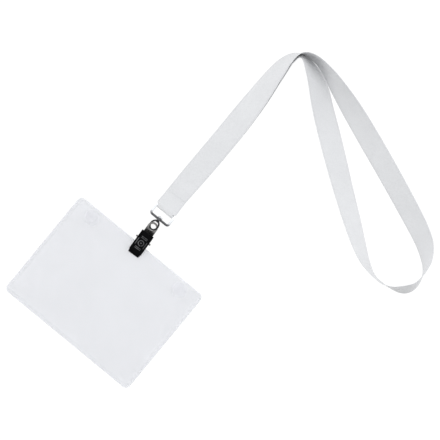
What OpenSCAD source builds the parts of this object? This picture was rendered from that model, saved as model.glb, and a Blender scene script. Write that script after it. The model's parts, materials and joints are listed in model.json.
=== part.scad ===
// Lanyard badge holder lying on a table: a woven neck ribbon looped through a
// D-ring, a swivel, a bulldog clip and a clear pocket with two press studs.
// Millimetres, +Z up, table at z = 0, +Y from the pocket towards the neck loop.
// The origin is on the flat underside of the clip's rear lever, below its axle.

/* [Ribbon] */
// Width of the woven ribbon
ribbon_w = 20; // [18:0.5:20]
// Thickness of the woven ribbon
ribbon_t = 0.7; // [0.5:0.05:0.7]
// Width of the ribbon where it wraps the D-ring
wrap_w = 15.4; // [13:0.2:15.4]
// Number of stitches in the seam above the D-ring
stitches = 11; // [7:1:13]

/* [D-ring and swivel] */
// Outside width of the D-ring
dring_w = 20; // [19:0.5:21]
// Distance between the D-ring's two long bars, centre to centre
dring_h = 8.6; // [8.2:0.1:9]
// Diameter of the D-ring's wire
dring_wire = 2; // [1.8:0.1:2]
// Centre radius of the swivel ring
ring_r = 4.1; // [4:0.05:4.2]
// Diameter of the swivel ring's wire
ring_wire = 1.5; // [1.2:0.1:1.5]
// Turn of the swivel ring about its own axis, in degrees
ring_turn = 35; // [32:1:38]

/* [Clip] */
// Width of the clip's plates
clip_w = 11.4; // [11:0.2:12]
// Thickness of the clip's plates
clip_t = 0.7; // [0.6:0.05:0.8]
// Diameter of the clip's axle pin
pin_d = 1.6; // [1.4:0.1:1.8]
// Rise of the front lever from its jaw to its thumb end, in degrees
front_rise = 12; // [10:1:14]
// Skew of the clip in the table's plane, in degrees
clip_skew = 3.5; // [0:0.5:4]

/* [Pocket] */
// Width of the pocket
pocket_w = 130; // [110:1:140]
// Height of the pocket
pocket_h = 99; // [85:1:110]
// Corner radius of the pocket
pocket_r = 4.5; // [3:0.5:6]
// Thickness of each clear sheet
sheet_t = 0.4; // [0.3:0.05:0.5]
// Width of the welded border
weld_w = 3; // [2.5:0.5:4]

/* [Press studs] */
// Diameter of a press stud's cap
cap_d = 12.4; // [11:0.2:13]
// Distance of each press stud from the pocket's centre line
stud_x = 46.4; // [42:0.2:50]
// Distance of the press studs below the pocket's top edge
stud_drop = 8.5; // [8:0.5:10]

/* [Hidden] */
$fn = 48;

white_cloth = [0.93, 0.94, 0.95];
bright_steel = [0.82, 0.83, 0.85];
dark_steel = [0.36, 0.37, 0.39];
black_steel = [0.1, 0.1, 0.11];
clear_vinyl = [0.88, 0.9, 0.94, 0.5];
clear_plastic = [0.93, 0.94, 0.96, 0.7];

// Heights and places along the lanyard's line
link_z = 3.2;
link_y = 15.3;
dring_top_y = 30;
dring_low_y = dring_top_y - dring_h;
dring_corner = 1.8;
boss_r = 2.1;
boss_len = 2.3;
rivet_r = 1;
rivet_play = 0.08;
rivet_head_r = 2.1;
rivet_head_h = 1.6;
wrap_play = 0.1;

// Clip, measured from its axle
jaw_y = -14.2;
thumb_y = 7;
axle_z = 3.6;
jaw_step = 2.5;
jaw_tip_w = 10;
front_jaw_z = 3.35;
bend_y = 1;
tab_rise = 14.5;
tab_hole_y = 13.1;
tab_hole_r = 2.9;
tab_end_r = 4.4;
pin_play = 0.07;
pin_half = 7.1;
ear_t = 0.7;
front_ear_x = clip_w / 2 - ear_t;
rear_ear_x = front_ear_x - 0.2 - ear_t;

// Pocket, which leans on its two rear caps
pocket_x = 3.4;
pocket_low_y = -103.2;
rear_cap_h = 0.9;
pocket_lean = 0.62;
gap_t = 1.4;
front_z = sheet_t + gap_t;
pocket_t = front_z + sheet_t;
stud_y = pocket_h - stud_drop;
stem_r = 1.5;

// Ribbon's route from the D-ring, up the doubled part, round the neck loop and
// back under itself: x, y, lean about its own line in degrees, lift, width.
// A lean of 0 or -180 lies flat, and -90 stands on edge.
route = [
    [-0.75, 30.8, 0, 4.24, 14.6], [-0.78, 32, 0, 4.15, 19], [-0.82, 34.5, 0, 3.6, 19.3],
    [-0.9, 39, 0, 2.75, 18.9], [-0.95, 43.5, 0, 2.2, 18.8], [-1, 50, 0, 2.2, 18.9],
    [-0.8, 62, 0, 1.2, 19.5], [-0.4, 85, 0, 1.2, 20],
    [-0.3, 110, -6, 1.2, 20], [-0.6, 130, -16, 1.15, 20],
    [-1.2, 150, -30, 1.05, 20], [-2, 165, -42, 0.9, 20], [-2.4, 178, -52, 0.75, 20],
    [-2, 187, -63, 0.55, 20], [0.2, 195, -76, 0.3, 20], [4.2, 200, -90, 0, 20],
    [9.8, 202.6, -100, 0.9, 20], [18.3, 203.6, -105, 1.7, 20], [30, 201.5, -114, 1.9, 20],
    [42, 197.8, -126, 1.6, 20], [64, 190.6, -142, 0.8, 20], [88, 182, -149, 0.2, 20],
    [112, 173, -149, 0, 20], [135, 164, -147, 0, 20], [158, 154.6, -144, 0, 20],
    [171, 148.8, -139, 0, 20], [181, 143, -131, 0, 20], [189.2, 135, -114, 0, 20],
    [193.6, 127.4, -96, 0, 20], [195.6, 120.4, -84, 0, 20], [195.6, 113, -76, 0, 20],
    [193, 107, -70, 0, 20], [188.4, 102.6, -73, 0, 20], [182, 99.2, -84, 0, 20],
    [174, 97, -93, 0, 20], [165, 97.3, -97, 0, 20], [154.4, 100.7, -110, 0, 20],
    [143.5, 106.3, -122, 0, 20], [124, 119.4, -136, 0, 20], [104, 133.4, -144, 0, 20],
    [84.5, 147.6, -152, 0, 20], [65, 162, -156, 0, 20], [46, 176, -152, 0, 20],
    [35.5, 184.5, -147, 0, 20], [26.2, 191.2, -137, 0, 20], [16.6, 195.7, -121, 0, 20],
    [9.7, 197.6, -106.5, 0, 20], [5.6, 197.4, -99, 0, 20], [2.9, 195.2, -100, 0, 20],
    [0.9, 191.5, -109, 0, 20], [-0.8, 187, -117, 0, 20], [-1.4, 178, -128, 0, 20],
    [-1.2, 165, -138, 0, 20], [-0.6, 150, -150, 0, 20], [-0.3, 130, -164, 0, 20],
    [-0.2, 110, -174, 0, 20], [-0.4, 85, -180, 0, 20], [-0.8, 62, -180, 0, 19.5],
    [-1, 50, -180, 0, 18.9], [-1, 43, -180, 0, 18.8], [-0.9, 39, -180, 0, 18.6]];
route_steps = 4;
tail_end_y = 49;
seam_y = 45.5;

// ---- Ribbon ----

function spline(a, b, c, d, t) =
    0.5 * (2 * b + (c - a) * t + (2 * a - 5 * b + 4 * c - d) * t * t
           + (3 * b - a - 3 * c + d) * t * t * t);

function smooth(pts, steps) =
    let (last = len(pts) - 1)
    [for (i = [0 : last - 1]) for (s = [0 : steps - 1])
        spline(pts[max(i - 1, 0)], pts[i], pts[i + 1], pts[min(i + 2, last)], s / steps),
     pts[last]];

function unit(v) = v / norm(v);

// The ribbon's four corners at one point of its line
function corners(p, along) =
    let (side = [-along[1], along[0], 0],
         across = cos(p[2]) * side + [0, 0, sin(p[2])],
         out = cross([along[0], along[1], 0], across),
         w = p[4] * ribbon_w / 20,
         z = max(p[3], 0) + abs(sin(p[2])) * w / 2 + abs(cos(p[2])) * ribbon_t / 2,
         c = [p[0], p[1], z])
    [for (k = [[1, 1], [-1, 1], [-1, -1], [1, -1]])
        c + across * k[0] * w / 2 + out * k[1] * ribbon_t / 2];

module swept_ribbon() {
    line = smooth(route, route_steps);
    n = len(line);
    rings = [for (i = [0 : n - 1])
        let (a = line[max(i - 1, 0)], b = line[min(i + 1, n - 1)])
        corners(line[i], unit([b[0] - a[0], b[1] - a[1]]))];
    // The two broad faces split along the same diagonal, so a twist keeps its thickness
    walls = [for (i = [0 : n - 2]) for (k = [0 : 3])
        let (p = i * 4 + k, q = i * 4 + (k + 1) % 4)
        each (k < 2 ? [[p, p + 4, q], [q, p + 4, q + 4]]
                    : [[p, p + 4, q + 4], [p, q + 4, q]])];
    polyhedron(
        points = [for (r = rings) each r],
        faces = concat(walls, [[0, 1, 2], [0, 2, 3]],
            [[4 * n - 1, 4 * n - 2, 4 * n - 3], [4 * n - 1, 4 * n - 3, 4 * n - 4]]));
}

// The fold round the D-ring's top bar, with its tail laid back to the seam
module wrap() {
    inner = dring_wire / 2 + wrap_play;
    outer = inner + ribbon_t;
    low = link_z - outer;
    tail_z = ribbon_t + 0.3;
    translate([-wrap_w / 2, 0, 0]) rotate([90, 0, 90]) linear_extrude(wrap_w) {
        difference() {
            translate([dring_top_y, link_z]) circle(outer);
            translate([dring_top_y, link_z]) circle(inner);
            translate([dring_top_y, link_z - 5]) square(10);
        }
        polygon([[dring_top_y, low], [dring_top_y, low + ribbon_t],
                 [tail_end_y - 9, tail_z + ribbon_t], [tail_end_y, tail_z + ribbon_t],
                 [tail_end_y, tail_z], [tail_end_y - 9, tail_z]]);
        polygon([[dring_top_y, link_z + inner], [dring_top_y, link_z + outer],
                 [31.4, 4.92], [31.4, 4.22]]);
    }
}

module ribbon() {
    color(white_cloth) {
        swept_ribbon();
        wrap();
    }
}

module ribbon_stitching() {
    stitch_len = 1.1;
    pitch = 1.5;
    top_z = 2.2 + ribbon_t;
    color(white_cloth)
    for (i = [0 : stitches - 1])
        translate([-0.8 + (i - (stitches - 1) / 2) * pitch, seam_y, top_z])
            linear_extrude(0.25) square([stitch_len, 0.45], center = true);
}

// ---- D-ring and swivel ----

// A quarter bend of round wire, and the next straight bar
module bend(r, wire) {
    rotate_extrude(angle = 90) translate([r, 0]) circle(d = wire, $fn = 24);
}

module dring_loop() {
    x = dring_w / 2 - dring_wire / 2 - dring_corner;
    y = dring_h / 2 - dring_corner;
    for (s = [0 : 3])
        rotate([0, 0, 90 * s])
            translate(s % 2 == 0 ? [x, y, 0] : [y, x, 0])
                bend(dring_corner, dring_wire);
    for (s = [-1, 1]) {
        translate([-x, s * dring_h / 2, 0])
            rotate([0, 90, 0]) cylinder(d = dring_wire, h = 2 * x);
        translate([s * (x + dring_corner), y, 0])
            rotate([90, 0, 0]) cylinder(d = dring_wire, h = 2 * y);
    }
}

module dring() {
    color(bright_steel)
    difference() {
        union() {
            translate([0, dring_low_y + dring_h / 2, link_z]) dring_loop();
            translate([0, dring_low_y + boss_len / 2, link_z])
                rotate([90, 0, 0]) cylinder(r = boss_r, h = boss_len);
        }
        translate([0, dring_low_y + 5, link_z])
            rotate([90, 0, 0]) cylinder(r = rivet_r + rivet_play, h = 10);
    }
}

module swivel_rivet() {
    foot_y = link_y + ring_r - 1.1;
    head_y = dring_low_y + boss_len / 2 + 0.1;
    color(bright_steel)
    translate([0, 0, link_z]) rotate([-90, 0, 0]) {
        translate([0, 0, foot_y]) cylinder(r = rivet_r, h = head_y - foot_y);
        translate([0, 0, head_y]) rotate_extrude()
            polygon([[0, 0], [rivet_head_r, 0], [rivet_head_r, 0.5],
                     [rivet_head_r - 0.4, 1.1], [rivet_head_r - 1, 1.5],
                     [0, rivet_head_h]]);
    }
}

module swivel_ring() {
    collar_y = link_y + ring_r - 0.6;
    color(bright_steel)
    difference() {
        translate([0, link_y, link_z]) rotate([0, -ring_turn, 0]) {
            rotate_extrude() translate([ring_r, 0]) circle(d = ring_wire, $fn = 32);
            translate([0, collar_y - link_y, 0])
                rotate([-90, 0, 0]) cylinder(r = 1.7, h = 1.3);
        }
        translate([0, link_y + 1.5, link_z])
            rotate([-90, 0, 0]) cylinder(r = rivet_r, h = 8);
    }
}

// ---- Clip ----

module clip_place() {
    translate([0, link_y, 0]) rotate([0, 0, clip_skew]) translate([0, -link_y, 0])
        children();
}

// A flat outline in the clip's side view, x as Y and y as Z, made w thick from x0
module side_plate(x0, w) {
    translate([x0, 0, 0]) rotate([90, 0, 90]) linear_extrude(w) children();
}

module clip_rear_lever() {
    tab_len = (tab_hole_y - bend_y) / cos(tab_rise);
    half = clip_w / 2;
    color(dark_steel)
    clip_place() {
        linear_extrude(clip_t)
            polygon([[-jaw_tip_w / 2, jaw_y], [jaw_tip_w / 2, jaw_y],
                     [half, jaw_y + jaw_step], [half, bend_y],
                     [-half, bend_y], [-half, jaw_y + jaw_step]]);
        translate([0, bend_y, 0]) rotate([tab_rise, 0, 0]) linear_extrude(clip_t)
            difference() {
                union() {
                    polygon([[-half, 0], [half, 0], [half, 3.5], [tab_end_r, 5.5],
                             [tab_end_r, tab_len], [-tab_end_r, tab_len],
                             [-tab_end_r, 5.5], [-half, 3.5]]);
                    translate([0, tab_len]) circle(tab_end_r);
                }
                translate([0, tab_len]) circle(tab_hole_r);
            }
        for (x = [-rear_ear_x - ear_t, rear_ear_x])
            side_plate(x, ear_t) difference() {
                union() {
                    polygon([[-3.2, 0.4], [2.6, 0.7], [1.7, axle_z], [-1.7, axle_z]]);
                    translate([0, axle_z]) circle(1.7);
                }
                translate([0, axle_z]) circle(d = pin_d);
            }
    }
}

// Raised pattern on the front lever: a ring between two pairs of bars
module relief() {
    h = 0.25;
    translate([0, 11.5, 0]) rotate_extrude()
        polygon([[1.9, 0], [2.7, 0], [2.6, h], [2, h]]);
    translate([0, 11.5, 0]) cylinder(r1 = 0.8, r2 = 0.65, h = h);
    for (y = [6, 7.2, 15.8, 17])
        translate([-2.8, y - 0.25, 0]) cube([5.6, 0.5, h]);
    for (s = [-1, 1])
        translate([s * 4 - 0.25, 8.4, 0]) cube([0.5, 6.2, h]);
}

module clip_front_lever() {
    len = (thumb_y - jaw_y) / cos(front_rise);
    half = clip_w / 2;
    slope = tan(front_rise);
    top = function(y) front_jaw_z + (y - jaw_y) * slope + 0.3;
    color(black_steel)
    clip_place() {
        translate([0, jaw_y, front_jaw_z]) rotate([front_rise, 0, 0]) {
            linear_extrude(clip_t)
                polygon([[-jaw_tip_w / 2, 0.4], [-jaw_tip_w / 2 + 0.4, 0],
                         [jaw_tip_w / 2 - 0.4, 0], [jaw_tip_w / 2, 0.4],
                         [jaw_tip_w / 2, jaw_step], [half, jaw_step + 0.4],
                         [half, len - 0.3], [half - 0.3, len],
                         [-half + 0.3, len], [-half, len - 0.3],
                         [-half, jaw_step + 0.4], [-jaw_tip_w / 2, jaw_step]]);
            translate([0, 0, clip_t]) relief();
        }
        for (x = [-front_ear_x - ear_t, front_ear_x])
            side_plate(x, ear_t) difference() {
                union() {
                    polygon([[-4, top(-4)], [-2, axle_z], [2, axle_z], [4.4, top(4.4)]]);
                    translate([0, axle_z]) circle(2);
                }
                translate([0, axle_z]) circle(pin_d / 2 + pin_play);
            }
    }
}

module clip_axle_pin() {
    color(dark_steel)
    clip_place() translate([-pin_half, 0, axle_z]) rotate([0, 90, 0])
        rotate_extrude()
            polygon([[0, 0], [pin_d / 2 - 0.3, 0], [pin_d / 2, 0.3],
                     [pin_d / 2, 2 * pin_half - 0.3],
                     [pin_d / 2 - 0.3, 2 * pin_half], [0, 2 * pin_half]]);
}

// Torsion spring: a close coil round the pin with one leg on each lever
module clip_spring() {
    wire = 0.62;
    coil_r = 1.45;
    turns = 11;
    pitch = 0.6;
    coil_len = (turns - 1) * pitch;
    color(bright_steel)
    clip_place() translate([0, 0, axle_z]) {
        translate([-coil_len / 2, 0, 0]) rotate([0, 90, 0]) rotate_extrude()
            for (i = [0 : turns - 1])
                translate([coil_r, i * pitch]) circle(d = wire, $fn = 16);
        translate([-coil_len / 2, 0, -coil_r]) rotate([-86, 0, 0])
            cylinder(d = wire, h = 6);
        translate([coil_len / 2, 0, coil_r]) rotate([-72, 0, 0])
            cylinder(d = wire, h = 6);
    }
}

// ---- Pocket ----

// The pocket's own frame: x from its centre line, y up from its bottom edge
module pocket_place() {
    translate([pocket_x, pocket_low_y, 0]) rotate([pocket_lean, 0, 0]) children();
}

module rounded(w, h, r) {
    translate([-w / 2, r]) square([w, h - 2 * r]);
    translate([-w / 2 + r, 0]) square([w - 2 * r, h]);
    for (x = [-w / 2 + r, w / 2 - r]) for (y = [r, h - r])
        translate([x, y]) circle(r);
}

module sheet() {
    linear_extrude(sheet_t) difference() {
        rounded(pocket_w, pocket_h, pocket_r);
        for (s = [-1, 1])
            translate([s * stud_x, stud_y]) circle(stem_r);
    }
}

module back_sheet() {
    color(clear_vinyl) pocket_place() sheet();
}

module front_sheet() {
    color(clear_vinyl) pocket_place() translate([0, 0, front_z]) sheet();
}

module weld_seam() {
    color(clear_vinyl) pocket_place() translate([0, 0, sheet_t])
        linear_extrude(gap_t) difference() {
            rounded(pocket_w, pocket_h, pocket_r);
            translate([0, weld_w])
                rounded(pocket_w - 2 * weld_w, pocket_h + 5, pocket_r - weld_w / 2);
        }
}

// ---- Press studs ----

module stud_place(side) {
    pocket_place() translate([side * stud_x, stud_y, 0]) children();
}

module front_cap(side) {
    r = cap_d / 2;
    color(clear_plastic) stud_place(side) translate([0, 0, pocket_t]) rotate_extrude()
        polygon([[0, -sheet_t], [stem_r, -sheet_t], [stem_r, 0], [r, 0], [r, 0.4],
                 [r - 0.5, 0.9], [r - 1.5, 1.2], [4.4, 1.2], [4.2, 0.9], [3.6, 0.9],
                 [3.4, 1.3], [1.6, 1.3], [1.25, 0.8], [0, 0.7]]);
}

module socket(side) {
    color(clear_plastic) stud_place(side) translate([0, 0, front_z]) rotate_extrude()
        polygon([[0, 0], [4.5, 0], [4.5, -0.5], [3.2, -0.9], [1.9, -0.9],
                 [1.9, -0.2], [0, -0.2]]);
}

module stud(side) {
    color(clear_plastic) stud_place(side) translate([0, 0, sheet_t]) rotate_extrude()
        polygon([[0, 0], [4.5, 0], [4.5, 0.3], [1.6, 0.35], [1.6, 0.5], [1.8, 0.8],
                 [1.6, 1.05], [0, 1.05]]);
}

module rear_cap(side) {
    r = cap_d / 2;
    color(clear_plastic) stud_place(side) rotate_extrude()
        polygon([[0, sheet_t], [stem_r, sheet_t], [stem_r, 0], [r, 0], [r, -0.3],
                 [r - 0.5, -0.7], [r - 1.4, -rear_cap_h], [0, -rear_cap_h]]);
}

ribbon();
ribbon_stitching();
dring();
swivel_rivet();
swivel_ring();
clip_rear_lever();
clip_front_lever();
clip_axle_pin();
clip_spring();
back_sheet();
front_sheet();
weld_seam();
front_cap(-1);  // left_front_cap
socket(-1);  // left_socket
stud(-1);  // left_stud
rear_cap(-1);  // left_rear_cap
front_cap(1);  // right_front_cap
socket(1);  // right_socket
stud(1);  // right_stud
rear_cap(1);  // right_rear_cap
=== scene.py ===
"""Looks for the lanyard badge holder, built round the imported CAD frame.

Lengths are in millimetres in the constants below and are turned into metres by MM.
The row frame has +Z up from the table, +Y from the pocket towards the neck loop.
"""
import json
from math import cos, exp, pi, radians, sin, sqrt

import bmesh
import bpy
import numpy as np
from mathutils import Matrix, Vector

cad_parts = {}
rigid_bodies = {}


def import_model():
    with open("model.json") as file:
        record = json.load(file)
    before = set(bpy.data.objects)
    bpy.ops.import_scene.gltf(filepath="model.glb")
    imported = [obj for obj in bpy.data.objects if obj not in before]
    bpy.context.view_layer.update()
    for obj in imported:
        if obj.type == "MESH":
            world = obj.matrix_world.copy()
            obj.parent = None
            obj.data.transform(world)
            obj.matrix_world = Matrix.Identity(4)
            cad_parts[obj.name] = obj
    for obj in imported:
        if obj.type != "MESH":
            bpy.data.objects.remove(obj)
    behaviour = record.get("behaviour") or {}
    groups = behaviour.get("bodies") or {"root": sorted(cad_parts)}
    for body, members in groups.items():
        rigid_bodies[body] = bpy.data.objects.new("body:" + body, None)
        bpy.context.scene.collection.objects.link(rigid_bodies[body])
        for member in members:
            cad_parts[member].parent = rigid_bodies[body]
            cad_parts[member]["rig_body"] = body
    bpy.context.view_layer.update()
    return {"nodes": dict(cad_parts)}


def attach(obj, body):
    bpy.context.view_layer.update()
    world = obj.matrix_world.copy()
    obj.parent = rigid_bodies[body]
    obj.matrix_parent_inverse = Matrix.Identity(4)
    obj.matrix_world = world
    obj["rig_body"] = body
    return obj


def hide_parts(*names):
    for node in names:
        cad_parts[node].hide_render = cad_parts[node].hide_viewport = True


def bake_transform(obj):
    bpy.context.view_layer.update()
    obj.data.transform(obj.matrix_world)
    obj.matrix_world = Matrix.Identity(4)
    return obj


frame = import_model()
MM = 0.001

# ---- Sizes shared with the CAD model, in millimetres and degrees ----

RIBBON_W = 20.0
RIBBON_T = 0.7
WRAP_W = 15.4
WRAP_R = 1.45
LINK_Z = 3.2
LINK_Y = 15.3
DRING_TOP_Y = 30.0
DRING_W = 20.0
DRING_H = 8.6
DRING_WIRE = 2.0
DRING_CORNER = 1.8
RING_R = 4.1
RING_WIRE = 1.5
RING_TURN = 35.0
SEAM_Y = 45.5
STITCHES = 11
TAIL_END_Y = 49.0
CLIP_SKEW = 3.5
CLIP_T = 0.7
AXLE_Z = 3.6
JAW_Y = -14.2
FRONT_JAW_Z = 3.35
FRONT_RISE = 12.0
POCKET_W = 130.0
POCKET_H = 99.0
POCKET_R = 4.5
POCKET_X = 3.4
POCKET_LOW_Y = -103.2
POCKET_LEAN = 0.62
SHEET_T = 0.4
GAP_T = 1.4
WELD_W = 3.0

# The ribbon's line from the D-ring round the neck loop and back under itself:
# x, y, lean in degrees, lift, width. The same points as the CAD model's route.
ROUTE = [
    (-0.75, 30.8, 0, 4.24, 14.6), (-0.78, 32, 0, 4.15, 19), (-0.82, 34.5, 0, 3.6, 19.3),
    (-0.9, 39, 0, 2.75, 18.9), (-0.95, 43.5, 0, 2.2, 18.8), (-1, 50, 0, 2.2, 18.9),
    (-0.8, 62, 0, 1.2, 19.5), (-0.4, 85, 0, 1.2, 20),
    (-0.3, 110, -6, 1.2, 20), (-0.6, 130, -16, 1.15, 20),
    (-1.2, 150, -30, 1.05, 20), (-2, 165, -42, 0.9, 20), (-2.4, 178, -52, 0.75, 20),
    (-2, 187, -63, 0.55, 20), (0.2, 195, -76, 0.3, 20), (4.2, 200, -90, 0, 20),
    (9.8, 202.6, -100, 0.9, 20), (18.3, 203.6, -105, 1.7, 20), (30, 201.5, -114, 1.9, 20),
    (42, 197.8, -126, 1.6, 20), (64, 190.6, -142, 0.8, 20), (88, 182, -149, 0.2, 20),
    (112, 173, -149, 0, 20), (135, 164, -147, 0, 20), (158, 154.6, -144, 0, 20),
    (171, 148.8, -139, 0, 20), (181, 143, -131, 0, 20), (189.2, 135, -114, 0, 20),
    (193.6, 127.4, -96, 0, 20), (195.6, 120.4, -84, 0, 20), (195.6, 113, -76, 0, 20),
    (193, 107, -70, 0, 20), (188.4, 102.6, -73, 0, 20), (182, 99.2, -84, 0, 20),
    (174, 97, -93, 0, 20), (165, 97.3, -97, 0, 20), (154.4, 100.7, -110, 0, 20),
    (143.5, 106.3, -122, 0, 20), (124, 119.4, -136, 0, 20), (104, 133.4, -144, 0, 20),
    (84.5, 147.6, -152, 0, 20), (65, 162, -156, 0, 20), (46, 176, -152, 0, 20),
    (35.5, 184.5, -147, 0, 20), (26.2, 191.2, -137, 0, 20), (16.6, 195.7, -121, 0, 20),
    (9.7, 197.6, -106.5, 0, 20), (5.6, 197.4, -99, 0, 20), (2.9, 195.2, -100, 0, 20),
    (0.9, 191.5, -109, 0, 20), (-0.8, 187, -117, 0, 20), (-1.4, 178, -128, 0, 20),
    (-1.2, 165, -138, 0, 20), (-0.6, 150, -150, 0, 20), (-0.3, 130, -164, 0, 20),
    (-0.2, 110, -174, 0, 20), (-0.4, 85, -180, 0, 20), (-0.8, 62, -180, 0, 19.5),
    (-1, 50, -180, 0, 18.9), (-1, 43, -180, 0, 18.8), (-0.9, 39, -180, 0, 18.6)]

# Where along the route the outer strand's cupping is deepest, its depth and its reach
CREST = 17.8
CREST_CUP = 1.2
CREST_REACH = 2.2
# Where the strands' lower edges flare towards each other at the crest: place, depth, reach
CREST_FLARES = [(15.6, 0.6, 0.8), (47, 1.4, 1.2)]
# Cuts made between two points of the route
ROUTE_STEPS = 9

CLIP_PLACE = (Matrix.Translation((0, LINK_Y, 0))
              @ Matrix.Rotation(radians(CLIP_SKEW), 4, "Z")
              @ Matrix.Translation((0, -LINK_Y, 0)))
POCKET_PLACE = (Matrix.Translation((POCKET_X, POCKET_LOW_Y, 0))
                @ Matrix.Rotation(radians(POCKET_LEAN), 4, "X"))


# ---- Camera, floor and light ----

def make_camera():
    """Straight above, through a long lens, turned so the lanyard runs up to the right."""
    height, view_width, turn = 2.4, 0.36, 39.5
    view_centre = (0.0388, 0.0526)
    data = bpy.data.cameras.new("camera")
    data.sensor_width = 36
    data.lens = 36 * height / view_width
    data.clip_end = 20
    camera = bpy.data.objects.new("camera", data)
    camera.location = (*view_centre, height)
    camera.rotation_euler = (0, 0, radians(turn))
    bpy.context.scene.collection.objects.link(camera)
    bpy.context.scene.camera = camera


def area_light(name, place, aim, size, power, colour=(1, 1, 1)):
    data = bpy.data.lights.new(name, "AREA")
    data.shape = "DISK"
    data.size = size
    data.energy = power
    data.color = colour
    lamp = bpy.data.objects.new(name, data)
    lamp.location = place
    lamp.rotation_euler = (Vector(aim) - Vector(place)).to_track_quat("-Z", "Y").to_euler()
    bpy.context.scene.collection.objects.link(lamp)


def make_light():
    scene = bpy.context.scene
    scene.view_settings.view_transform = "Standard"
    scene.view_settings.look = "None"
    world = bpy.data.worlds.new("studio")
    world.use_nodes = True
    nodes, links = world.node_tree.nodes, world.node_tree.links
    nodes["Background"].inputs["Color"].default_value = (0.97, 0.985, 1, 1)
    # A white studio with a dark patch low down, on the side at the foot of the picture
    away_from_patch = (-0.63, 0.77, 0.05)
    side = nodes.new("ShaderNodeVectorMath")
    side.operation = "DOT_PRODUCT"
    side.inputs[1].default_value = away_from_patch
    links.new(nodes.new("ShaderNodeTexCoord").outputs["Generated"], side.inputs[0])
    fade = nodes.new("ShaderNodeMapRange")
    fade.interpolation_type = "SMOOTHSTEP"
    for name, value in (("From Min", -0.92), ("From Max", -0.36), ("To Min", 0.0), ("To Max", 1.13)):
        fade.inputs[name].default_value = value
    links.new(side.outputs["Value"], fade.inputs["Value"])
    links.new(fade.outputs["Result"], nodes["Background"].inputs["Strength"])
    scene.world = world
    # The clear sheets and studs stack more surfaces than Cycles passes light through by default
    scene.cycles.transparent_max_bounces = 24
    centre = (0.05, 0.05, 0)
    area_light("key", (-0.68, -0.6, 0.5), centre, 0.7, 3.3, (1, 0.99, 0.975))
    area_light("fill", (0.7, 0.6, 0.6), centre, 0.7, 2.7)


def make_floor():
    """A pale floor that is mostly self-lit, so it shows hardly any shadow."""
    size, drop = 4.0, 0.00008
    bpy.ops.mesh.primitive_grid_add(x_subdivisions=4, y_subdivisions=4, size=size,
                                    location=(0.05, 0.05, -drop))
    floor = bpy.context.object
    floor.name = "floor"
    mat, _, _, bsdf = principled("floor_white")
    bsdf.inputs["Base Color"].default_value = (0.12, 0.12, 0.12, 1)
    bsdf.inputs["Roughness"].default_value = 0.9
    bsdf.inputs["Specular IOR Level"].default_value = 0.0
    bsdf.inputs["Emission Color"].default_value = (1, 1, 1, 1)
    bsdf.inputs["Emission Strength"].default_value = 0.93
    floor.data.materials.append(mat)


# ---- Material helpers ----

def principled(name):
    mat = bpy.data.materials.new(name)
    mat.use_nodes = True
    nodes, links = mat.node_tree.nodes, mat.node_tree.links
    return mat, nodes, links, nodes["Principled BSDF"]


def noise(nodes, links, vector, scale, detail, rough):
    n = nodes.new("ShaderNodeTexNoise")
    n.inputs["Scale"].default_value = scale
    n.inputs["Detail"].default_value = detail
    n.inputs["Roughness"].default_value = rough
    links.new(vector, n.inputs["Vector"])
    return n.outputs["Fac"]


def ramp(nodes, links, value, stops):
    r = nodes.new("ShaderNodeValToRGB")
    r.color_ramp.elements[0].position = stops[0][0]
    r.color_ramp.elements[0].color = (*stops[0][1], 1)
    r.color_ramp.elements[1].position = stops[-1][0]
    r.color_ramp.elements[1].color = (*stops[-1][1], 1)
    for place, colour in stops[1:-1]:
        r.color_ramp.elements.new(place).color = (*colour, 1)
    links.new(value, r.inputs["Fac"])
    return r.outputs["Color"]


def span(nodes, links, value, low, high):
    """value, from 0 to 1, mapped to low to high."""
    m = nodes.new("ShaderNodeMapRange")
    m.inputs["To Min"].default_value = low
    m.inputs["To Max"].default_value = high
    links.new(value, m.inputs["Value"])
    return m.outputs["Result"]


def maths(nodes, links, kind, a, b=None):
    m = nodes.new("ShaderNodeMath")
    m.operation = kind
    for socket, value in zip(m.inputs, (a, b)):
        if value is None:
            continue
        if isinstance(value, (int, float)):
            socket.default_value = value
        else:
            links.new(value, socket)
    return m.outputs[0]


def bump(nodes, links, bsdf, height, strength, depth, below=None):
    b = nodes.new("ShaderNodeBump")
    b.inputs["Strength"].default_value = strength
    b.inputs["Distance"].default_value = depth
    links.new(height, b.inputs["Height"])
    if below is not None:
        links.new(below, b.inputs["Normal"])
    links.new(b.outputs["Normal"], bsdf.inputs["Normal"])
    return b.outputs["Normal"]


def mix(nodes, links, factor, a, b, blend="MIX"):
    m = nodes.new("ShaderNodeMix")
    m.data_type = "RGBA"
    m.blend_type = blend
    for name, value in (("Factor", factor), ("A", a), ("B", b)):
        socket = [s for s in m.inputs if s.name == name and
                  (s.type == "RGBA" or name == "Factor" and s.type == "VALUE")][0]
        if isinstance(value, tuple):
            socket.default_value = (*value, 1)
        elif isinstance(value, float):
            socket.default_value = value
        else:
            links.new(value, socket)
    return [s for s in m.outputs if s.type == "RGBA"][0]


def object_coords(nodes):
    return nodes.new("ShaderNodeTexCoord").outputs["Object"]


# ---- Materials ----

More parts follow.
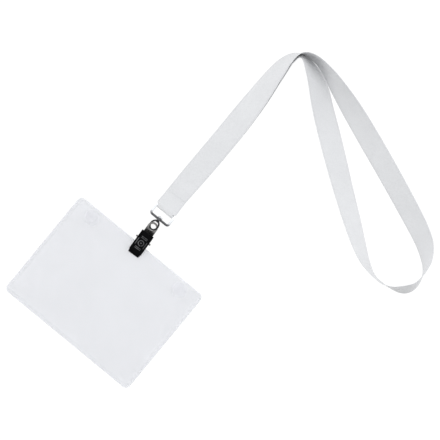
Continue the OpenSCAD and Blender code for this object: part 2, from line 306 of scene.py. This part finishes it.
def woven_tape():
    """White polyester tape: a plain weave that follows the tape, with firm selvedges."""
    pitch_along, pitch_across = 0.62, 0.5
    mat, nodes, links, bsdf = principled("woven_tape")
    uv = nodes.new("ShaderNodeUVMap")
    uv.uv_map = "tape"
    split = nodes.new("ShaderNodeSeparateXYZ")
    links.new(uv.outputs["UV"], split.inputs["Vector"])
    along, across = split.outputs["X"], split.outputs["Y"]
    a = maths(nodes, links, "SINE", maths(nodes, links, "MULTIPLY", along, 2 * pi / pitch_along))
    b = maths(nodes, links, "SINE", maths(nodes, links, "MULTIPLY", across, 2 * pi / pitch_across))
    weave = maths(nodes, links, "MULTIPLY", a, b)
    weave01 = maths(nodes, links, "MULTIPLY_ADD", weave, 0.5)
    weave01.node.inputs[2].default_value = 0.5
    edge = maths(nodes, links, "DIVIDE", maths(nodes, links, "ABSOLUTE", across), RIBBON_W / 2)
    coords = object_coords(nodes)
    cloud = noise(nodes, links, coords, 45, 4, 0.6)
    fibre = noise(nodes, links, coords, 900, 2, 0.7)
    tone = ramp(nodes, links, cloud, [(0.3, (0.652, 0.654, 0.662)), (0.7, (0.682, 0.684, 0.692))])
    # Painted shade: the tape's colour darkens in the weave's hollows, the low places of the same
    # weave bump.
    thread = ramp(nodes, links, weave01, [(0, (0.9, 0.9, 0.91)), (0.45, (1, 1, 1))])
    lint = ramp(nodes, links, fibre, [(0.25, (0.95, 0.95, 0.95)), (0.6, (1, 1, 1))])
    hem = ramp(nodes, links, edge, [(0.86, (1, 1, 1)), (0.9, (0.93, 0.93, 0.935)), (0.97, (1, 1, 1))])
    colour = tone
    for layer in (thread, lint, hem):
        colour = mix(nodes, links, 1.0, colour, layer, "MULTIPLY")
    links.new(colour, bsdf.inputs["Base Color"])
    links.new(span(nodes, links, cloud, 0.72, 0.86), bsdf.inputs["Roughness"])
    bsdf.inputs["Sheen Weight"].default_value = 0.18
    bsdf.inputs["Sheen Roughness"].default_value = 0.5
    bsdf.inputs["Specular IOR Level"].default_value = 0.3
    coarse = bump(nodes, links, bsdf, weave01, 0.55, 0.00012)
    bump(nodes, links, bsdf, fibre, 0.25, 0.00006, coarse)
    return mat


def sewing_thread():
    mat, nodes, links, bsdf = principled("sewing_thread")
    coords = object_coords(nodes)
    twist = nodes.new("ShaderNodeTexWave")
    twist.inputs["Scale"].default_value = 1400
    twist.inputs["Distortion"].default_value = 0.6
    links.new(coords, twist.inputs["Vector"])
    links.new(ramp(nodes, links, twist.outputs["Fac"],
                   [(0, (0.58, 0.585, 0.6)), (1, (0.8, 0.8, 0.81))]), bsdf.inputs["Base Color"])
    bsdf.inputs["Roughness"].default_value = 0.6
    bump(nodes, links, bsdf, twist.outputs["Fac"], 0.5, 0.00008)
    return mat


def clear_vinyl(name, low, high, alpha, rough=0.2):
    """Soft clear sheet, a little milky, with a fine pressed grain and slow ripples."""
    mat, nodes, links, bsdf = principled(name)
    coords = object_coords(nodes)
    cloud = noise(nodes, links, coords, 18, 3, 0.55)
    grain = noise(nodes, links, coords, 1500, 2, 0.6)
    ripple = noise(nodes, links, coords, 60, 2, 0.4)
    links.new(ramp(nodes, links, cloud, [(0.3, low), (0.7, high)]), bsdf.inputs["Base Color"])
    links.new(span(nodes, links, cloud, rough - 0.05, rough + 0.1), bsdf.inputs["Roughness"])
    bsdf.inputs["Alpha"].default_value = alpha
    bsdf.inputs["IOR"].default_value = 1.53
    bsdf.inputs["Coat Weight"].default_value = 0.15
    bsdf.inputs["Coat Roughness"].default_value = 0.08
    wide = bump(nodes, links, bsdf, ripple, 0.25, 0.0006)
    bump(nodes, links, bsdf, grain, 0.12, 0.00005, wide)
    return mat


def moulded_clear(name, low, high, alpha):
    """Hard clear moulding of the press studs, with faint flow marks."""
    mat, nodes, links, bsdf = principled(name)
    coords = object_coords(nodes)
    flow = noise(nodes, links, coords, 260, 3, 0.6)
    links.new(ramp(nodes, links, flow, [(0.3, low), (0.7, high)]), bsdf.inputs["Base Color"])
    links.new(span(nodes, links, flow, 0.08, 0.2), bsdf.inputs["Roughness"])
    bsdf.inputs["Alpha"].default_value = alpha
    bsdf.inputs["IOR"].default_value = 1.5
    bsdf.inputs["Coat Weight"].default_value = 0.4
    bsdf.inputs["Coat Roughness"].default_value = 0.05
    bump(nodes, links, bsdf, flow, 0.15, 0.0002)
    return mat


def plated(name, base, worn, rough, metallic=1.0, specular=0.5, painted_dark_reflection=None):
    """Plated steel with hairline scratches, soft smears and worn spots. The last argument, if given,
    is a dark reflection painted into the colour by place: a colour and two places in Y; the metal has
    that colour up to the first and none of it past the second."""
    mat, nodes, links, bsdf = principled(name)
    coords = object_coords(nodes)
    stretch = nodes.new("ShaderNodeMapping")
    stretch.inputs["Scale"].default_value = (1, 14, 4)
    stretch.inputs["Rotation"].default_value = (0.2, 0.1, 0.6)
    links.new(coords, stretch.inputs["Vector"])
    hairs = noise(nodes, links, stretch.outputs["Vector"], 420, 4, 0.75)
    smear = noise(nodes, links, coords, 260, 3, 0.6)
    wear = maths(nodes, links, "MULTIPLY", hairs, smear)
    shade = ramp(nodes, links, wear, [(0.2, base), (0.42, worn)])
    # Painted dark reflection: below a place in Y the plating's colour turns dark, as if the metal
    # there reflected something dark.
    if painted_dark_reflection:
        colour, start, end = painted_dark_reflection
        split = nodes.new("ShaderNodeSeparateXYZ")
        links.new(coords, split.inputs["Vector"])
        fade = nodes.new("ShaderNodeMapRange")
        fade.inputs["From Min"].default_value = start * MM
        fade.inputs["From Max"].default_value = end * MM
        links.new(split.outputs["Y"], fade.inputs["Value"])
        shade = mix(nodes, links, fade.outputs["Result"], colour, shade)
    links.new(shade, bsdf.inputs["Base Color"])
    links.new(span(nodes, links, smear, rough * 0.7, rough * 1.6), bsdf.inputs["Roughness"])
    bsdf.inputs["Metallic"].default_value = metallic
    bsdf.inputs["Specular IOR Level"].default_value = specular
    bump(nodes, links, bsdf, hairs, 0.08, 0.00004)
    return mat


# ---- Mesh helpers ----

def piece(name, verts, faces, materials, body, slot, sharp=40):
    """A mesh object in the row frame that rides on a CAD body, or on none where body is None."""
    mesh = bpy.data.meshes.new(name)
    mesh.from_pydata([tuple(Vector(v) * MM) for v in verts], [], faces)
    mesh.validate()
    bm = bmesh.new()
    bm.from_mesh(mesh)
    bmesh.ops.recalc_face_normals(bm, faces=bm.faces)
    bm.to_mesh(mesh)
    bm.free()
    finish_mesh(mesh, materials, sharp)
    obj = bpy.data.objects.new(name, mesh)
    bpy.context.scene.collection.objects.link(obj)
    if body:
        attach(obj, body)
    return obj


def finish_mesh(mesh, materials, sharp):
    """Materials, and smooth shading up to the angle sharp in degrees."""
    for mat in materials:
        mesh.materials.append(mat)
    mesh.polygons.foreach_set("use_smooth", [True] * len(mesh.polygons))
    mesh.set_sharp_from_angle(angle=radians(sharp))
    mesh.update()


def lathe(profile, place):
    """Vertices and faces of a closed profile of (radius, height) turned about place's Z."""
    segments, least_radius = 48, 0.004
    verts, faces = [], []
    n = len(profile)
    for s in range(segments):
        angle = 2 * pi * s / segments
        for r, h in profile:
            r = max(r, least_radius)
            verts.append(place @ Vector((r * cos(angle), r * sin(angle), h)))
    for s in range(segments):
        for k in range(n):
            a, b = s * n + k, s * n + (k + 1) % n
            c, d = ((s + 1) % segments) * n + (k + 1) % n, ((s + 1) % segments) * n + k
            faces.append((a, b, c, d))
    return verts, faces


def tube(path, radius, sides, closed=False):
    """Vertices and faces of a round wire along path, kept from twisting."""
    path = [Vector(p) for p in path]
    n = len(path)
    verts, faces = [], []
    side = None
    for i in range(n):
        before = path[i - 1] if closed or i else path[0]
        after = path[(i + 1) % n] if closed or i < n - 1 else path[-1]
        along = (after - before).normalized()
        if side is None:
            side = along.orthogonal().normalized()
        side = (side - along * side.dot(along)).normalized()
        up = along.cross(side)
        for k in range(sides):
            angle = 2 * pi * k / sides
            verts.append(path[i] + (side * cos(angle) + up * sin(angle)) * radius)
    for i in range(n if closed else n - 1):
        for k in range(sides):
            a, b = i * sides + k, i * sides + (k + 1) % sides
            j = (i + 1) % n
            faces.append((a, b, j * sides + (k + 1) % sides, j * sides + k))
    if not closed:
        faces.append(tuple(range(sides)))
        faces.append(tuple((n - 1) * sides + k for k in reversed(range(sides))))
    return verts, faces


def joined(*parts):
    """Several (vertices, faces) as one."""
    verts, faces = [], []
    for v, f in parts:
        start = len(verts)
        verts += list(v)
        faces += [tuple(i + start for i in face) for face in f]
    return verts, faces


def slab_faces(across, rows):
    """Faces of a closed slab whose vertices are a grid of the given counts, listed row by
    row for the lower side and then for the upper."""
    size = across * rows
    faces = []
    for j in range(rows - 1):
        for i in range(across - 1):
            a = j * across + i
            faces.append((a, a + across, a + across + 1, a + 1))
            faces.append((a + size, a + 1 + size, a + across + 1 + size, a + across + size))
    rim = ([(j * across, (j + 1) * across) for j in range(rows - 1)]
           + [((j + 1) * across - 1, (j + 2) * across - 1) for j in range(rows - 1)]
           + [(i, i + 1) for i in range(across - 1)]
           + [((rows - 1) * across + i, (rows - 1) * across + i + 1) for i in range(across - 1)])
    return faces + [(a, b, b + size, a + size) for a, b in rim]


def softened(node, name, materials, width, choose=None):
    """A copy of a CAD node with its edges rounded over, which stands for the node. choose
    gives a face's material from its centre in millimetres."""
    flat_angle, edge_angle, shade_angle = 1.5, 32, 14
    weld_distance = 2e-7
    body = frame["nodes"][node]["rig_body"]
    mesh = frame["nodes"][node].data.copy()
    mesh.name = name
    mesh.materials.clear()
    bm = bmesh.new()
    bm.from_mesh(mesh)
    bmesh.ops.remove_doubles(bm, verts=bm.verts, dist=weld_distance)
    bmesh.ops.dissolve_limit(bm, angle_limit=radians(flat_angle), verts=bm.verts, edges=bm.edges)
    sharp = [e for e in bm.edges if len(e.link_faces) == 2
             and e.calc_face_angle(0) > radians(edge_angle)]
    bmesh.ops.bevel(bm, geom=sharp, offset=width * MM, segments=2, profile=0.6,
                    affect="EDGES", clamp_overlap=True)
    bmesh.ops.triangulate(bm, faces=[f for f in bm.faces if len(f.verts) > 4])
    if choose:
        for face in bm.faces:
            face.material_index = choose(face.calc_center_median() / MM)
    bm.to_mesh(mesh)
    bm.free()
    finish_mesh(mesh, materials, shade_angle)
    obj = bpy.data.objects.new(name, mesh)
    bpy.context.scene.collection.objects.link(obj)
    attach(obj, body)
    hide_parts(node)


# ---- Ribbon ----

def spline(a, b, c, d, t):
    return 0.5 * (2 * b + (c - a) * t + (2 * a - 5 * b + 4 * c - d) * t * t
                  + (3 * b - a - 3 * c + d) * t * t * t)


def loop_sections():
    """Centre, across, out and width along the route, as in the CAD model, with the cup and
    flare of each section."""
    steps = ROUTE_STEPS
    pts = [np.array(p, float) for p in ROUTE]
    last = len(pts) - 1
    line = [spline(pts[max(i - 1, 0)], pts[i], pts[i + 1], pts[min(i + 2, last)], s / steps)
            for i in range(last) for s in range(steps)] + [pts[last]]
    sections = []
    for i, p in enumerate(line):
        a, b = line[max(i - 1, 0)], line[min(i + 1, len(line) - 1)]
        along = Vector((b[0] - a[0], b[1] - a[1], 0)).normalized()
        lean = radians(p[2])
        across = cos(lean) * Vector((-along.y, along.x, 0)) + Vector((0, 0, sin(lean)))
        height = max(p[3], 0) + abs(sin(lean)) * p[4] / 2 + abs(cos(lean)) * RIBBON_T / 2
        cup = CREST_CUP * exp(-((i / steps - CREST) / CREST_REACH) ** 2)
        flare = sum(depth * exp(-((i / steps - place) / reach) ** 2)
                    for place, depth, reach in CREST_FLARES)
        sections.append((Vector((p[0], p[1], height)), across, along.cross(across), p[4],
                         cup, flare))
    return sections


def wrap_sections():
    """The tail and the fold round the D-ring's top bar, up to the route's start."""
    play = 0.3
    tail_z = RIBBON_T * 1.5 + play
    low_z = LINK_Z - WRAP_R
    side = [(TAIL_END_Y, tail_z), (45, tail_z), (40, tail_z + 0.06), (36, tail_z + 0.22),
            (33, low_z - 0.13)]
    turn = [(DRING_TOP_Y - WRAP_R * sin(radians(a)), LINK_Z - WRAP_R * cos(radians(a)))
            for a in range(0, 181, 12)]
    side += turn
    across = Vector((-1, 0, 0))
    sections = []
    for i, (y, z) in enumerate(side):
        ya, za = side[max(i - 1, 0)]
        yb, zb = side[min(i + 1, len(side) - 1)]
        along = Vector((0, yb - ya, zb - za)).normalized()
        sections.append((Vector((0, y, z)), across, along.cross(across), WRAP_W, 0, 0))
    return sections


def make_ribbon(cloth):
    """One continuous strip with rounded selvedges and a slight slackness."""
    half_t = RIBBON_T / 2
    selvedge = 0.55
    cuts = 16
    # Lengths along the tape between which it lies slack, and the length over which that sets in
    slack_from, slack_to, fade = 60, 750, 60
    sections = wrap_sections() + loop_sections()
    # The strip's outline in its own section: v across from -1 to 1, h out in half thicknesses
    rows = [-1 + 2 * k / cuts for k in range(cuts + 1)]
    edge = [selvedge if abs(v) == 1 else 1.0 for v in rows]
    outline = ([(v, h) for v, h in zip(rows, edge)]
               + [(v, -h) for v, h in reversed(list(zip(rows, edge)))])
    m = len(outline)
    verts, uvs, travel = [], [], 0.0
    for i, (centre, across, out, width, cup, flare) in enumerate(sections):
        if i:
            travel += (centre - sections[i - 1][0]).length
        free = (min(1.0, max(0.0, (travel - slack_from) / fade))
                * min(1.0, max(0.0, (slack_to - travel) / fade)))
        slack = 0.1 * free * sin(travel / 17.0) + 0.06 * free * sin(travel / 6.1 + 1)
        for v, h in outline:
            wave = slack * (v * v - 0.4) + cup * (1 - v * v) - flare * (v + 1) ** 2 / 4
            verts.append(centre + across * v * width / 2 + out * (h * half_t + wave))
            uvs.append((travel, v * RIBBON_W / 2))
    faces = []
    for i in range(len(sections) - 1):
        for k in range(m):
            a, b = i * m + k, i * m + (k + 1) % m
            faces.append((a, b, b + m, a + m))
    n = len(sections) - 1
    for k in range(len(rows) - 1):
        faces.append((k, k + 1, m - 2 - k, m - 1 - k))
        faces.append((n * m + k, n * m + m - 1 - k, n * m + m - 2 - k, n * m + k + 1))
    ribbon = piece("neck_ribbon", verts, faces, [cloth], "lanyard", "ribbon", sharp=60)
    layer = ribbon.data.uv_layers.new(name="tape")
    for loop in ribbon.data.loops:
        layer.data[loop.index].uv = uvs[loop.vertex_index]
    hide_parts("ribbon")
    return ribbon, travel


def make_stitches(thread):
    """A row of thread loops that dip into the tape at both ends."""
    pitch, length, radius = 1.5, 1.25, 0.16
    middle, tape_z, crown, dip = -0.8, 2.2, 0.1, 0.3
    top = tape_z + RIBBON_T
    parts = []
    for i in range(STITCHES):
        x = middle + (i - (STITCHES - 1) / 2) * pitch
        path = [(x + length / 2 * t, SEAM_Y, top + crown - dip * t ** 4)
                for t in np.linspace(-1, 1, 9)]
        parts.append(tube(path, radius, 10))
    seam = piece("seam_thread", *joined(*parts), [thread], "lanyard", "thread")
    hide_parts("ribbon_stitching")
    return seam


# ---- D-ring and swivel ----

def make_dring(steel):
    """The bent wire and the boss that the swivel's pin turns in."""
    x = DRING_W / 2 - DRING_WIRE / 2 - DRING_CORNER
    y = DRING_H / 2 - DRING_CORNER
    middle = DRING_TOP_Y - DRING_H / 2
    path = []
    for start, (cx, cy) in zip((0, 90, 180, 270), ((x, y), (-x, y), (-x, -y), (x, -y))):
        for a in range(start, start + 91, 10):
            path.append((cx + DRING_CORNER * cos(radians(a)),
                         middle + cy + DRING_CORNER * sin(radians(a)), LINK_Z))
    wire = tube(path, DRING_WIRE / 2, 24, closed=True)
    low = DRING_TOP_Y - DRING_H
    bore, outer, half, chamfer = 1.08, 2.1, 1.15, 0.25
    boss = lathe([(bore, -half), (outer - chamfer, -half), (outer, -half + chamfer),
                  (outer, half - chamfer), (outer - chamfer, half), (bore, half)],
                 Matrix.Translation((0, low, LINK_Z)) @ Matrix.Rotation(radians(-90), 4, "X"))
    loop = piece("dring_loop", *joined(wire, boss), [steel], "dring", "bright_steel")
    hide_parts("dring")


def make_swivel(steel, dark):
    """The domed pin in the D-ring's boss, and the ring on it with its collar."""
    low = DRING_TOP_Y - DRING_H
    pin_r, head_r, rim, dome_h, chamfer = 1, 2.1, 0.45, 1.1, 0.15
    foot = LINK_Y + RING_R - 1.1
    head = low + 1.25
    axis = Matrix.Translation((0, 0, LINK_Z)) @ Matrix.Rotation(radians(-90), 4, "X")
    dome = [(head_r * cos(radians(a)), head + rim + dome_h * sin(radians(a)))
            for a in range(0, 86, 12)]
    rivet = lathe([(0, foot), (pin_r - chamfer, foot), (pin_r, foot + chamfer), (pin_r, head),
                   (head_r - 0.1, head), (head_r, head + 0.12)]
                  + dome + [(0, head + rim + dome_h)], axis)
    pin = piece("swivel_pin", *rivet, [steel], "swivel", "bright_steel")
    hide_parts("swivel_rivet")
    turn = (Matrix.Translation((0, LINK_Y, LINK_Z))
            @ Matrix.Rotation(radians(-RING_TURN), 4, "Y"))
    ring = [turn @ Vector((RING_R * cos(a), RING_R * sin(a), 0))
            for a in np.linspace(0, 2 * pi, 72, endpoint=False)]
    collar_r, collar_h, edge = 1.7, 1.3, 0.2
    collar_y = RING_R - 0.6
    collar = lathe([(pin_r, collar_y), (collar_r - edge, collar_y), (collar_r, collar_y + edge),
                    (collar_r, collar_y + collar_h - edge),
                    (collar_r - edge, collar_y + collar_h), (pin_r, collar_y + collar_h)],
                   turn @ Matrix.Rotation(radians(-90), 4, "X"))
    loop = piece("swivel_loop", *joined(tube(ring, RING_WIRE / 2, 24, closed=True), collar),
                 [dark], "swivel", "bright_steel")
    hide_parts("swivel_ring")


# ---- Clip ----

def raised_part(centre):
    """1 on the front lever's raised pattern and 0 elsewhere, for a face's centre in mm."""
    clearance = 0.12
    plate = (CLIP_PLACE @ Matrix.Translation((0, JAW_Y, FRONT_JAW_Z))
             @ Matrix.Rotation(radians(FRONT_RISE), 4, "X"))
    return int((plate.inverted() @ centre).z > CLIP_T + clearance)


def make_clip(black, worn, dark):
    """The two levers and the axle pin, from the CAD nodes with softened edges."""
    softened("clip_front_lever", "front_plate", [black, worn], 0.1, raised_part)
    softened("clip_rear_lever", "rear_plate", [dark], 0.1)
    softened("clip_axle_pin", "axle", [dark], 0.08)


def make_spring(steel):
    """A close helix round the axle with a leg under each lever, wound up as the jaws open."""
    coil_r, wire_r, half, turns = 1.45, 0.29, 3.0, 9.5
    cuts = 16
    low_reach, low_step, low_slope = 6.0, 1.5, 0.07
    high_step, high_slope = 1.4, 0.31
    points = []
    for i in range(int(turns * cuts) + 1):
        angle = 2 * pi * i / cuts
        x = -half + 2 * half * i / (turns * cuts)
        points.append((x, coil_r * sin(angle), AXLE_Z - coil_r * cos(angle)))
    low_leg = [(-half, y, AXLE_Z - coil_r + y * low_slope)
               for y in (low_reach - k * low_step for k in range(4))]
    high_leg = [(half, y, AXLE_Z + coil_r + y * high_slope)
                for y in (k * high_step for k in range(1, 5))]
    path = [CLIP_PLACE @ Vector(p) for p in low_leg + points + high_leg]
    spring = piece("torsion_spring", *tube(path, wire_r, 10), [steel], None, "spring_steel")
    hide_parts("clip_spring")
    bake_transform(spring)


# ---- Pocket ----

def smoothstep(t):
    t = min(1.0, max(0.0, t))
    return t * t * (3 - 2 * t)


def pocket_rise(x, y):
    """Height of the front sheet's underside above the back sheet: pressed down at the
    welds, held up by the studs and the clip along the top, and slack in between."""
    welded, shoulder, crease_y, crease_w = 0.16, 9, 84, 3.2
    bead_h, bead_place, bead_w = 0.16, 1.4, 0.6
    from_edge = min(POCKET_W / 2 - abs(x), y)
    inside = smoothstep((from_edge - WELD_W) / shoulder)
    crease = smoothstep((y - crease_y) / crease_w)
    slack = 0.62 + 0.16 * sin(x / 19 + 0.6) * sin(y / 23 + 1) + 0.08 * sin(x / 7.3 + y / 11)
    height = slack + (GAP_T - slack) * crease
    bead = bead_h * exp(-((from_edge - bead_place) / bead_w) ** 2)
    return welded + (height - welded) * inside + bead


def outline_rows():
    """Distances up the pocket at which its outline is cut, close together at the corners."""
    straight_rows = 64
    arc = [POCKET_R * (1 - cos(radians(a))) for a in range(0, 91, 10)]
    middle = list(np.linspace(POCKET_R, POCKET_H - POCKET_R, straight_rows))[1:-1]
    return arc + middle + [POCKET_H - d for d in reversed(arc)]


def half_width(y):
    """Half the pocket's width at y, less at its rounded corners."""
    d = min(y, POCKET_H - y)
    if d >= POCKET_R:
        return POCKET_W / 2
    return POCKET_W / 2 - POCKET_R + sqrt(max(POCKET_R ** 2 - (POCKET_R - d) ** 2, 0))


def make_sheet(name, node, vinyl, height):
    """One clear sheet of the pocket, with height(x, y) of its underside."""
    cuts, bunching = 120, 0.4
    columns = [-1 + 2 * k / cuts for k in range(cuts + 1)]
    rows = outline_rows()
    verts = []
    for layer in (0, 1):
        for y in rows:
            half = half_width(y)
            for c in columns:
                # Columns bunch towards the sides, where the weld turns down
                x = half * (c * (1 + bunching) - bunching * c ** 3)
                verts.append(POCKET_PLACE @ Vector((x, y, height(x, y) + layer * SHEET_T)))
    faces = slab_faces(len(columns), len(rows))
    sheet = piece(name, verts, faces, [vinyl], "pocket", "clear_vinyl", sharp=50)
    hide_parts(node)


def make_weld(vinyl):
    """The pressed border on three sides, a low bead with a fine cross ribbing."""
    inset = [0.0, 0.5, 1.0, 1.6, 2.2, 2.8, WELD_W]
    rise = [0.0, 0.04, 0.02, 0.04, 0.02, 0.04, 0.0]
    low, thick = SHEET_T + 0.02, 0.07
    least_corner, top = 0.4, POCKET_H - 1.5
    side_cuts, foot_cuts = 60, 80

    def ring(d):
        r = max(POCKET_R - d, least_corner)
        x, y0 = POCKET_W / 2 - d, d
        path = [(-x, t) for t in np.linspace(top, y0 + r, side_cuts)]
        path += [(-x + r - r * cos(radians(a)), y0 + r - r * sin(radians(a)))
                 for a in range(9, 90, 9)]
        path += [(t, y0) for t in np.linspace(-x + r, x - r, foot_cuts)]
        path += [(x - r + r * sin(radians(a)), y0 + r - r * cos(radians(a)))
                 for a in range(9, 90, 9)]
        path += [(x, t) for t in np.linspace(y0 + r, top, side_cuts)]
        return path

    rings = [ring(d) for d in inset]
    verts = []
    for layer in (0, 1):
        for ring_path, up in zip(rings, rise):
            for x, y in ring_path:
                verts.append(POCKET_PLACE @ Vector((x, y, low + layer * (thick + up))))
    faces = slab_faces(len(rings[0]), len(rings))
    weld = piece("weld_border", verts, faces, [vinyl], "pocket", "clear_vinyl", sharp=50)
    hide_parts("weld_seam")


def make_studs(cap, inner):
    """Both press studs, from the CAD nodes with softened edges."""
    for side in ("left", "right"):
        softened(f"{side}_front_cap", f"{side}_cap", [cap], 0.12)
        softened(f"{side}_rear_cap", f"{side}_back_cap", [cap], 0.12)
        softened(f"{side}_socket", f"{side}_snap_socket", [inner], 0.08)
        softened(f"{side}_stud", f"{side}_snap_stud", [inner], 0.08)


# ---- Assembly ----

make_camera()
make_light()
make_floor()

# The D-ring's low bar and boss get a painted dark reflection in the plating's colour, darkest below Y
# 22 mm and gone by 24 mm.
bright = plated("bright_nickel", (0.9, 0.91, 0.93), (0.75, 0.76, 0.78), 0.14,
                painted_dark_reflection=((0.12, 0.12, 0.125), 22.0, 24.0))
smoky = plated("smoky_nickel", (0.04, 0.04, 0.042), (0.028, 0.028, 0.03), 0.14)
tinned = plated("tinned_steel", (0.23, 0.222, 0.216), (0.17, 0.164, 0.16), 0.22)
black = plated("black_nickel", (0.002, 0.002, 0.0022), (0.004, 0.004, 0.0043), 0.3, 0.0, 0.03)
rubbed = plated("rubbed_nickel", (0.07, 0.07, 0.072), (0.2, 0.2, 0.205), 0.35)
drawn = plated("drawn_wire", (0.5, 0.51, 0.53), (0.38, 0.38, 0.4), 0.25)

ribbon, ribbon_length = make_ribbon(woven_tape())
seam = make_stitches(sewing_thread())
make_dring(bright)
make_swivel(bright, smoky)
make_clip(black, rubbed, tinned)
make_spring(drawn)

film = clear_vinyl("clear_sheet", (0.64, 0.648, 0.68), (0.68, 0.688, 0.72), 0.24)
border = clear_vinyl("pressed_border", (0.9, 0.91, 0.93), (0.95, 0.955, 0.97), 0.08, 0.3)
make_sheet("back_film", "back_sheet", film, lambda x, y: 0.0)
make_sheet("front_film", "front_sheet", film, lambda x, y: SHEET_T + pocket_rise(x, y))
make_weld(border)
make_studs(moulded_clear("clear_cap", (0.84, 0.84, 0.89), (0.91, 0.915, 0.94), 0.11),
           moulded_clear("clear_snap", (0.88, 0.88, 0.92), (0.94, 0.94, 0.96), 0.06))
